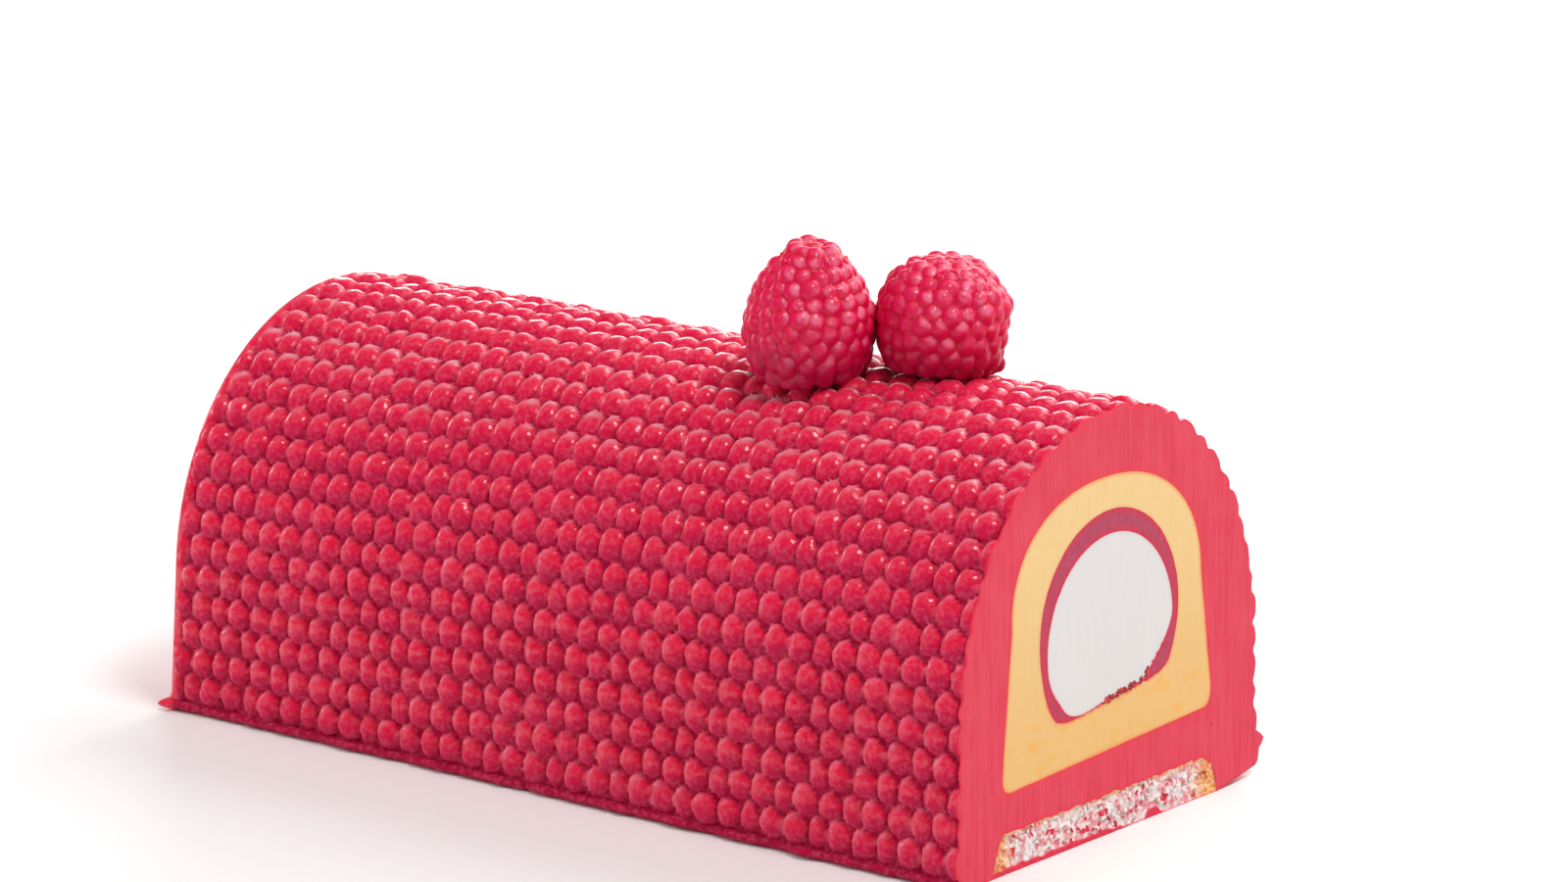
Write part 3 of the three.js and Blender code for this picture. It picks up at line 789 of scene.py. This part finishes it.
jam_body = (0.46, 0.054, 0.118)
jam_shade = (0.41, 0.040, 0.096)
jam_line = (0.60, 0.018, 0.060)
jam = Finish(
    "berry_jam",
    Roughness=0.45,
    Specular_IOR_Level=0.25,
    Subsurface_Weight=0.1,
    Subsurface_Radius=(1.0, 0.2, 0.2),
    Subsurface_Scale=0.5 * mm,
)
jam_tone = jam.mix(jam.between(jam.lumps(1.4), 0.35, 0.65), jam_body, jam_shade)
inner_line = jam.mix(jam.attribute("inner_edge"), jam_tone, jam_line)
jam.colour(jam.mix(jam.attribute("outer_edge"), inner_line, jam_line))
jam.bump(jam.lumps(0.6), 0.1)
make_piece(layer_solid(jam_edge, core_edge, 10, 1.7), "jam_layer", [jam.material], "jam", "jam_ring")

# Where the insert was cut, the jam has broken into dark crumbs along the lower right of the core.
jam_crumbs = bmesh.new()
jam_crumb_count = 40
bit_chance = random.Random(12)
for i in range(jam_crumb_count):
    angle = math.radians(bit_chance.uniform(262, 320))
    radius = bit_chance.uniform(0.25, 0.5) * (1.6 if 294 < math.degrees(angle) < 310 else 0.9)
    y, z = around(angle, core_reach(angle) + bit_chance.uniform(-0.5, 0.4))
    centre = Vector((cut_x - 0.25 * radius, y, z))
    placed = Matrix.Translation(centre)
    made = bmesh.ops.create_icosphere(jam_crumbs, subdivisions=3, radius=radius, matrix=placed)
    for v in made["verts"]:
        v.co = centre + (v.co - centre) * (1 + 0.4 * uneven(*v.co, 0.5, 2.0))
jam_crumb_dark = (0.26, 0.004, 0.022)
jam_crumb_ember = (0.76, 0.07, 0.03)
crumb_jam = Finish("dark_jam", Roughness=0.35, Specular_IOR_Level=0.4)
ember = crumb_jam.between(crumb_jam.lumps(0.8), 0.48, 0.62)
crumb_jam.colour(crumb_jam.mix(ember, jam_crumb_dark, jam_crumb_ember))
make_piece(jam_crumbs, "jam_crumbs", [crumb_jam.material], "jam", sharp=80)


# ---------------------------------------------------------------------------------------------------------
# The core: a thick stick of very even white cream.

core_white = (0.732, 0.702, 0.692)
core_warm = (0.730, 0.705, 0.695)
core_edge_pink = (0.78, 0.42, 0.46)
cream = Finish(
    "white_cream",
    Roughness=0.6,
    Specular_IOR_Level=0.2,
    Subsurface_Weight=0.2,
    Subsurface_Radius=(1.0, 0.9, 0.8),
    Subsurface_Scale=0.8 * mm,
)
cream_tone = cream.mix(cream.between(cream.lumps(6.0), 0.3, 0.7), core_white, core_warm)
cream.colour(cream.mix(cream.times(cream.attribute("outer_edge"), 0.35), cream_tone, core_edge_pink))
cream.bump(cream.lumps(1.2, vector=cream.stretched(1, 1, 0.2)), 0.04)
make_piece(
    layer_solid(core_edge, [0.0] * turn_steps, 16, 0.45, relief=0.25),
    "cream_stick",
    [cream.material],
    "cream",
    "cream_core",
)


# ---------------------------------------------------------------------------------------------------------
# The sponge: a strip of pale open sponge let into the underside. Its cut face is torn into crumbs, stained
# red along the bottom and in places by the sorbet, and toasted at both ends.

sponge_columns = 300
sponge_rows = 34


def film(y):
    """How far up from the floor the sorbet has crept over the sponge."""
    left_part = 0.9 * (1 - smooth(-4.0, 8.0, y)) * (1 + 0.5 * uneven(0, y, 0, 3.0, 2.0))
    spot = 1.5 * smooth(9.5, 11.0, y) * (1 - smooth(13.0, 15.5, y))
    return 0.15 + left_part + spot


def crumb_relief(y, z):
    """How far the torn face of the sponge lies behind the cut."""
    near, *_ = noise.voronoi(Vector((y / 1.25, z / 1.15, 3.0)))[0]
    fine, *_ = noise.voronoi(Vector((y / 0.55, z / 0.5, 8.0)))[0]
    pore = smooth(0.12, 0.5, uneven(0, y, z, 1.5, 7.0))
    return 0.6 * near**1.5 + 0.3 * fine + 0.6 * pore


def end_toast(y):
    """How toasted the sponge is: 1 at both ends of the strip, 0 away from them."""
    return max(1 - smooth(1.0, 8.0, y - trough["left"]), 1 - smooth(1.5, 9.0, trough["right"] - y))


sponge_mesh = bmesh.new()
stain = sponge_mesh.verts.layers.float.new("stain")
depth = sponge_mesh.verts.layers.float.new("depth")
toast = sponge_mesh.verts.layers.float.new("toast")
bmesh.ops.create_grid(sponge_mesh, x_segments=sponge_columns, y_segments=sponge_rows, size=1)
for v in sponge_mesh.verts:
    share, up = (v.co.x + 1) / 2, (v.co.y + 1) / 2
    y = lerp(trough_edge(-1, up) - 0.15, trough_edge(1, up) + 0.15, share)
    z = up * (trough_top(y) + 0.15)
    inside = min(y - trough_edge(-1, up), trough_edge(1, up) - y, trough_top(y) - z)
    red = 1 - smooth(-0.12, 0.15, z - film(y))
    back = crumb_relief(y, z) * (1 - 0.8 * red) * lerp(0.25, 1.0, smooth(0.0, 0.7, inside))
    v.co = (cut_x - 0.05 - back, y, z)
    v[stain] = red
    v[depth] = min(1.0, back)
    v[toast] = max(end_toast(y), 0.75 * (1 - smooth(0.0, 1.4, trough["height"] - z)))
outside = [e for e in sponge_mesh.edges if e.is_boundary]


def to_sponge_end(v):
    v.co.x = trough["end"]
    v[depth] = 0.5


back_rim = draw_in(sponge_mesh, outside, to_sponge_end)
bmesh.ops.contextual_create(sponge_mesh, geom=back_rim)

crumb_white = (0.90, 0.85, 0.83)
crumb_pink = (0.90, 0.35, 0.38)
crumb_dull = (0.80, 0.62, 0.60)
crumb_red = (0.70, 0.035, 0.075)
pore_pink = (0.80, 0.46, 0.47)
crust_gold = (0.96, 0.62, 0.19)
crust_brown = (0.90, 0.24, 0.03)
stain_red = (0.74, 0.035, 0.075)
sponge = Finish("sponge_crumb", Roughness=0.85, Specular_IOR_Level=0.3)
cells = sponge.node("TexVoronoi", Vector=sponge.stretched(1, 1, 1), Scale=1.1)
tint = sponge.node("SeparateColor", Color=cells.outputs["Color"])
pink_cells = sponge.between(tint.outputs["Red"], 0.55, 0.75, 0.0, 0.95)
pinked = sponge.mix(pink_cells, crumb_white, crumb_pink)
dull_cells = sponge.between(tint.outputs["Blue"], 0.85, 0.95, 0.0, 0.6)
dulled = sponge.mix(dull_cells, pinked, crumb_dull)
reddened = sponge.mix(sponge.between(tint.outputs["Green"], 0.87, 0.92), dulled, crumb_red)
pores = sponge.between(sponge.attribute("depth"), 0.5, 1.0, 0.0, 0.6)
sunk = sponge.mix(pores, reddened, pore_pink)
crusty = sponge.times(sponge.attribute("toast"), sponge.between(sponge.lumps(1.0), 0.25, 0.45))
crust_tone = sponge.mix(sponge.between(sponge.lumps(0.7), 0.42, 0.6), crust_gold, crust_brown)
toasted = sponge.mix(sponge.times(crusty, 0.95), sunk, crust_tone)
sponge.colour(sponge.mix(sponge.attribute("stain"), toasted, stain_red))
sponge.bump(sponge.lumps(0.35, detail=4.0), 0.2)
make_piece(sponge_mesh, "sponge_strip", [sponge.material], "sponge", "sponge_base", sharp=80)

# Loose crumbs cling to the torn face.
crumbs = bmesh.new()
crumbs.verts.layers.float.new("stain")  # the material reads it, and it stays 0, as does the depth
crumbs.verts.layers.float.new("depth")
crumb_toast = crumbs.verts.layers.float.new("toast")
crumb_chance = random.Random(31)
crumb_tries = 230  # those that would lie in the sorbet are left out
for i in range(crumb_tries):
    share, up = crumb_chance.random(), crumb_chance.uniform(0.14, 0.97)
    y = lerp(trough_edge(-1, up), trough_edge(1, up), share)
    centre = Vector((cut_x - 0.3, y, up * trough["height"]))
    if centre.z < film(y) + 0.4:
        continue
    radius = crumb_chance.uniform(0.18, 0.5)
    turned = Matrix.Rotation(crumb_chance.uniform(0, math.pi), 4, (crumb_chance.random(), 0.4, 0.6))
    squash = Matrix.Diagonal((crumb_chance.uniform(0.7, 1.0), 1.0, crumb_chance.uniform(0.7, 1.0), 1.0))
    placed = Matrix.Translation(centre) @ turned @ squash
    made = bmesh.ops.create_icosphere(crumbs, subdivisions=2, radius=radius, matrix=placed)
    for v in made["verts"]:
        v.co = centre + (v.co - centre) * (1 + 0.35 * uneven(*v.co, 0.35, 2.0))
        v[crumb_toast] = end_toast(y)
make_piece(crumbs, "sponge_crumbs", [sponge.material], "sponge", sharp=80)


# ---------------------------------------------------------------------------------------------------------
# The raspberries: two whole berries stood on the crown with their open ends down. A berry is rows of round
# drupelets packed on a hollow core, each drawn here as part of a ball, so that creases run between them.


def crown_over(y):
    """The height of the knobs' tops over a place across the log."""
    half = side_top_half + knob_rise
    return side_height + (crown_height - side_height + knob_rise) * math.sqrt(1 - (y / half) ** 2)


def berry_radius(share, shape):
    """Radius of a berry's body at a share of its height: full at its waist, blunt at its tip."""
    if share < shape["waist"]:
        return shape["foot"] + (1 - shape["foot"]) * math.sqrt(1 - (1 - share / shape["waist"]) ** 2)
    up = (share - shape["waist"]) / (1 - shape["waist"])
    return shape["tip"] + (1 - shape["tip"]) * (1 - up**2) ** shape["taper"]


def drupelet_places(height, radius, shape, turn, chance):
    """Balls of drupelets packed in staggered rows from a berry's open foot to its tip."""
    ball = 2.05
    row_pitch_up = 2.85
    wide = 3.15
    first, last = 1.5, 0.6  # rows' distances from the foot and from the tip
    outline = [(radius * berry_radius(i / 200, shape), height * i / 200) for i in range(201)]
    outline += [(outline[-1][0] * (1 - i / 20), height) for i in range(1, 21)]
    walked = [0.0]
    for (r_a, z_a), (r_b, z_b) in zip(outline, outline[1:]):
        walked.append(walked[-1] + math.hypot(r_b - r_a, z_b - z_a))
    rows = round((walked[-1] - first - last) / row_pitch_up)
    balls = []
    offset = turn
    for row in range(rows + 1):
        run = first + row * (walked[-1] - first - last) / rows
        i = max(1, min(len(walked) - 2, sum(1 for w in walked if w < run)))
        (r_a, z_a), (r_b, z_b) = outline[i - 1], outline[min(i + 6, len(outline) - 1)]
        slope = math.hypot(r_b - r_a, z_b - z_a)
        out_r, out_z = (z_b - z_a) / slope, -(r_b - r_a) / slope
        ring = max(0.0, r_a - ball * out_r)
        count = max(1, round(2 * math.pi * (ring + 0.35 * ball) / wide)) if ring > 0.9 else 1
        offset += math.pi / count
        for step in range(count):
            angle = offset + 2 * math.pi * (step + chance.uniform(-0.15, 0.15)) / count
            out = ring + chance.uniform(-0.25, 0.15)
            z = z_a - ball * out_z + chance.uniform(-0.4, 0.4)
            tall = lerp(1.22, 1.0, min(1.0, run / walked[-1] * 1.2)) * chance.uniform(0.96, 1.06)
            place = Vector((out * math.cos(angle), out * math.sin(angle), z))
            balls.append((place, ball * chance.uniform(0.92, 1.08), tall))
    balls.append((Vector((0.3, -0.2, height - ball - 0.1)), ball, 1.0))
    return balls


highlight_side = Vector((0.62, -0.48, 0.62)).normalized()  # the way each drupelet's painted highlight faces, towards the key lamp


def raspberry(place, height, radius, shape, lean, turn, seed, stray=None):
    """A berry: a ball whose points are pushed out to the drupelets round its middle, then leaned and set."""
    chance = random.Random(seed)
    balls = drupelet_places(height, radius, shape, turn, chance)
    if stray:
        balls.append((Vector(stray), 1.5, 1.0))
    middle_z = 0.45 * height
    middle = Vector((0, 0, middle_z))
    bm = bmesh.new()
    crease = bm.verts.layers.float.new("crease")
    low_down = bm.verts.layers.float.new("low")
    shoulder = bm.verts.layers.float.new("shoulder")
    bmesh.ops.create_icosphere(bm, subdivisions=7, radius=1)
    inner = [(centre - middle, size, tall) for centre, size, tall in balls]
    blend = 0.4
    for v in bm.verts:
        toward = v.co.normalized()
        found = second = 0.0
        own = middle
        for centre, size, tall in inner:
            level = centre.x * toward.x + centre.y * toward.y
            along_ray = level + centre.z * toward.z / tall**2
            if along_ray < 0:
                continue
            stretch = toward.x**2 + toward.y**2 + (toward.z / tall) ** 2
            far_off = centre.x**2 + centre.y**2 + (centre.z / tall) ** 2
            room = along_ray * along_ray - stretch * (far_off - size * size)
            if room > 0:
                far = (along_ray + math.sqrt(room)) / stretch
                if far > found:
                    found, second = far, found
                    own = centre
                elif far > second:
                    second = far
        level = math.hypot(toward.x, toward.y)
        z = middle_z + toward.z * max(found, 1.0)
        core = (radius - 1.5) * berry_radius(min(1.0, max(0.0, z / height)), shape) / max(level, 0.05)
        if toward.z > 0:
            core = min(core, (0.55 * height - 1.3) / toward.z)
        core = min(core, radius)
        near = max(blend - abs(found - second), 0.0) / blend
        out = max(found + near * near * blend / 4, core)
        if toward.z < 0:
            out = min(out, middle_z / -toward.z)
        v.co = middle + toward * out
        # The painted highlight: the side of each drupelet that faces the key lamp is painted pale
        facing_out = (toward * found - own).normalized().dot(highlight_side)
        v[shoulder] = smooth(0.72, 1.0, facing_out)
        v[crease] = smooth(0.0, 1.0, found - max(second, found - 1.5))
        # Painted shade: the lower part of each berry is darkened
        v[low_down] = 0.75 * (1 - smooth(-0.1, 0.5, v.co.z / height))
    leaned = Matrix.Rotation(math.radians(lean[0]), 4, "Y") @ Matrix.Rotation(math.radians(-lean[1]), 4, "X")
    foot = crown_over(place[1]) + 0.2
    for v in bm.verts:
        low = max(0.0, 1 - 4 * v.co.z / height)
        p = leaned @ v.co
        settle = 0.35 * low * (crown_over(place[1] + p.y) - crown_over(place[1]))
        v.co = (place[0] + p.x, place[1] + p.y, foot + p.z + settle)
    return bm


berry_red = (0.71, 0.002, 0.070)
crease_shade_red = (0.64, 0.001, 0.033)
berry_foot_shade = (0.29, 0.001, 0.040)
# A pale pink for the painted highlight
highlight_pink = (0.92, 0.24, 0.37)
berry = Finish(
    "raspberry_skin",
    Roughness=0.5,
    Specular_IOR_Level=0.1,
    Subsurface_Weight=0.15,
    Subsurface_Radius=(1.0, 0.2, 0.2),
    Subsurface_Scale=0.8 * mm,
    Coat_Weight=0.4,
    Coat_Roughness=0.15,
)
# Painted shade: the creases between the drupelets are a darker, deeper red
crease_shaded = berry.mix(berry.between(berry.attribute("crease"), 0.0, 0.6), crease_shade_red, berry_red)
# Painted highlight: pale pink on the drupelets' lit sides
painted_highlight = berry.times(berry.attribute("shoulder"), berry.between(berry.lumps(2.2), 0.38, 0.66, 0.08, 0.7))
highlighted = berry.mix(painted_highlight, crease_shaded, highlight_pink)
# The berry's lower part is painted darker, a painted shade
berry.colour(berry.mix(berry.attribute("low"), highlighted, berry_foot_shade))
berry.bump(berry.lumps(0.35), 0.04)
berries = {
    "berry_left": {
        "place": (32.5, -7.7),
        "height": 22.6,
        "radius": 11.7,
        "shape": {"foot": 0.78, "waist": 0.34, "tip": 0.27, "taper": 0.98},
        "lean": (4.4, -1.9),
        "turn": 0.3,
        "seed": 5,
    },
    "berry_right": {
        "place": (51.2, 4.6),
        "height": 19.8,
        "radius": 11.9,
        "shape": {"foot": 0.72, "waist": 0.5, "tip": 0.05, "taper": 0.5},
        "lean": (4.6, 2.2),
        "turn": 1.1,
        "seed": 11,
        "stray": (7.9, 5.9, 1.8),
    },
}
for name, measures in berries.items():
    make_piece(raspberry(**measures), "rasp" + name, [berry.material], "raspberry", name, sharp=180)


# ---------------------------------------------------------------------------------------------------------
# The table and the light: a plain pale floor that runs far back, in a pale room. A small box high over the
# cut is the key, and its reflections are the sparkles on the knobs. Windows behind and to the left light the
# crown and the closed end, and weak fills lift the long side and the cut.

table = bmesh.new()
bmesh.ops.create_grid(table, x_segments=1, y_segments=1, size=8.0)
table_mesh = bpy.data.meshes.new("table")
table.to_mesh(table_mesh)
table.free()
floor = bpy.data.objects.new("table", table_mesh)
bpy.context.scene.collection.objects.link(floor)
table_white = (0.86, 0.855, 0.85)
pale = Finish("pale_table", Roughness=0.6)
pale.colour(table_white)
table_mesh.materials.append(pale.material)

room = bpy.data.worlds.new("room")
bpy.context.scene.world = room
room.use_nodes = True
backdrop = room.node_tree.nodes["Background"]
backdrop.inputs["Color"].default_value = (1.0, 1.0, 1.0, 1.0)
backdrop.inputs["Strength"].default_value = 0.28


def lamp(name, place, aim, wide, high, watts, mirrored=True):
    """A soft rectangular lamp, in millimetres, that shows in reflections where it is mirrored."""
    light = bpy.data.lights.new(name, "AREA")
    light.shape = "RECTANGLE"
    light.size = wide * mm
    light.size_y = high * mm
    light.energy = watts
    made = bpy.data.objects.new(name, light)
    bpy.context.scene.collection.objects.link(made)
    made.location = Vector(place) * mm
    made.rotation_euler = (Vector(aim) - Vector(place)).to_track_quat("-Z", "Y").to_euler()
    made.visible_glossy = mirrored


lamp("key_box", (780, -160, 1380), (20, 0, 50), 500, 400, 13)
lamp("back_window", (240, 950, 1100), (0, 0, 40), 900, 700, 10.5)
lamp("back_wall", (-500, 1700, 550), (0, 0, 60), 2200, 700, 19)
lamp("left_wall", (-1450, -750, 500), (0, 0, 50), 1100, 800, 8.5, mirrored=False)
lamp("left_window", (-1500, 60, 330), (0, -40, 40), 520, 480, 3.0)
lamp("front_fill", (-900, -1050, 750), (-20, 0, 40), 1000, 800, 4.8, mirrored=False)
lamp("cut_fill", (1550, -270, 360), (60, 0, 40), 900, 600, 1.4)
bpy.context.scene.view_settings.view_transform = "Standard"

# The camera stands off the cut end, a little above the cake, with a long lens.
target = Vector((20.59, 0.0, 58.18)) * mm
distance = 1092 * mm
yaw = math.radians(39.11)
pitch = math.radians(13.60)
roll = math.radians(-0.47)
ahead = Vector((-math.sin(yaw) * math.cos(pitch), math.cos(yaw) * math.cos(pitch), -math.sin(pitch)))
level_right = Vector((math.cos(yaw), math.sin(yaw), 0.0))
level_up = level_right.cross(ahead)
right = math.cos(roll) * level_right + math.sin(roll) * level_up
up = right.cross(ahead)
lens = bpy.data.cameras.new("camera")
lens.lens = 143.58
lens.sensor_width = 36.0
lens.clip_end = 30.0
camera = bpy.data.objects.new("camera", lens)
bpy.context.scene.collection.objects.link(camera)
facing_way = Matrix((right, up, -ahead)).transposed().to_4x4()
camera.matrix_world = Matrix.Translation(target - ahead * distance) @ facing_way
bpy.context.scene.camera = camera
